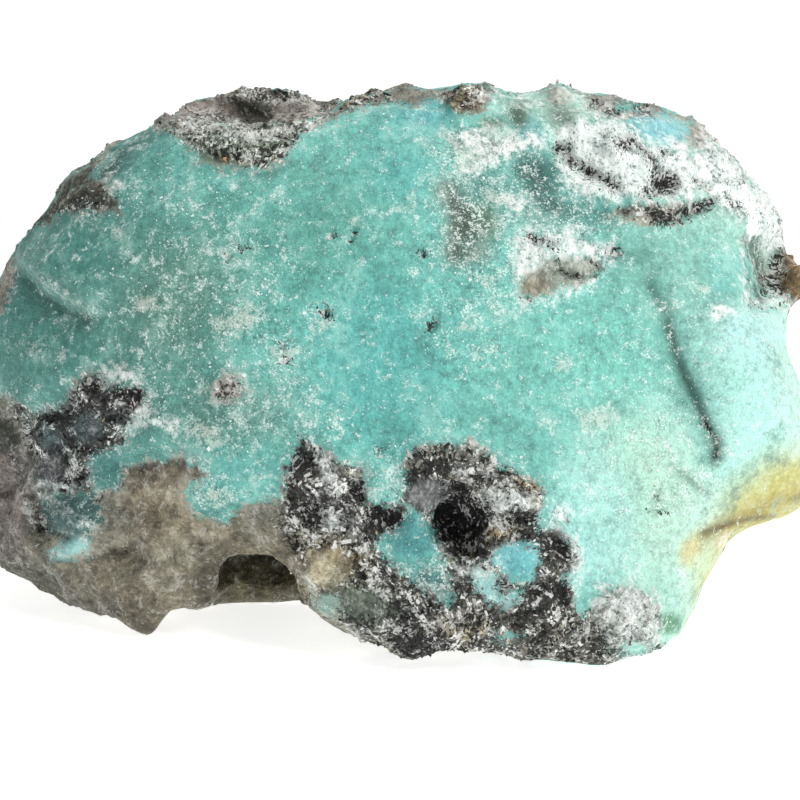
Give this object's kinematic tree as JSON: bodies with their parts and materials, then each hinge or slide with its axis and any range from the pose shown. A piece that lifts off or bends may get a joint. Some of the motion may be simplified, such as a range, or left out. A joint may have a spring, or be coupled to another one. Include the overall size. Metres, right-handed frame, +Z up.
{
  "type": "turquoise specimen",
  "caption": "Rough turquoise stone with a broad sugary blue-green face, a pale crust along its top and a dark matrix cluster at its foot, resting on its broken underside.",
  "frame": {"origin": "the middle of the stone's footprint box, on the surface that it rests on", "axes": "+X along the stone's length, to the right of the blue-green face; -Y out of that face; +Z up"},
  "size_m": [0.102, 0.0538, 0.0605],
  "materials": {
    "turquoise": "rough sugary turquoise, with white crust and dark glittering matrix"
  },
  "bodies": {
    "root": {"turquoise_stone": "turquoise"}
  },
  "joints": []
}
